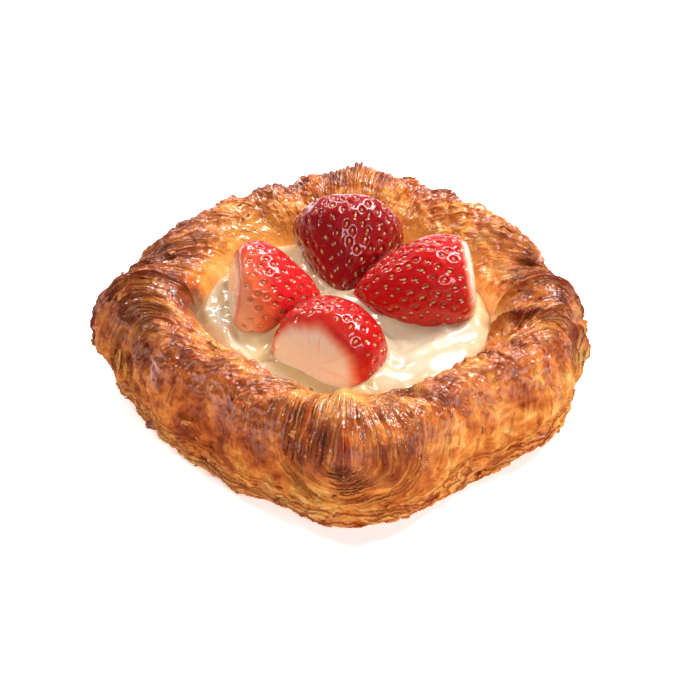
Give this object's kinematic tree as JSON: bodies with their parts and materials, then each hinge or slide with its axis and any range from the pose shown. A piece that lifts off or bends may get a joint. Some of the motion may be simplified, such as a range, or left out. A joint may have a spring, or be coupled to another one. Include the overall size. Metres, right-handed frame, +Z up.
{
  "type": "fruit danish pastry",
  "caption": "Laminated pastry case with a pleated, folded rim, filled with custard and topped with hulled, glazed strawberries.",
  "frame": {"origin": "middle of the flat underside", "axes": "+Z up; the case's four corners point along -Y (front), +X (right), +Y (back) and -X (left)"},
  "size_m": [0.1167, 0.1148, 0.0404],
  "materials": {
    "crust": "golden brown baked crust under a thin clear glaze",
    "custard": "smooth, moist pale custard",
    "strawberry": "glossy red fruit under a clear glaze"
  },
  "bodies": {
    "root": {"pastry": "crust", "custard": "custard", "strawberry_front": "strawberry", "strawberry_left": "strawberry", "strawberry_back": "strawberry", "strawberry_right": "strawberry"}
  },
  "joints": []
}
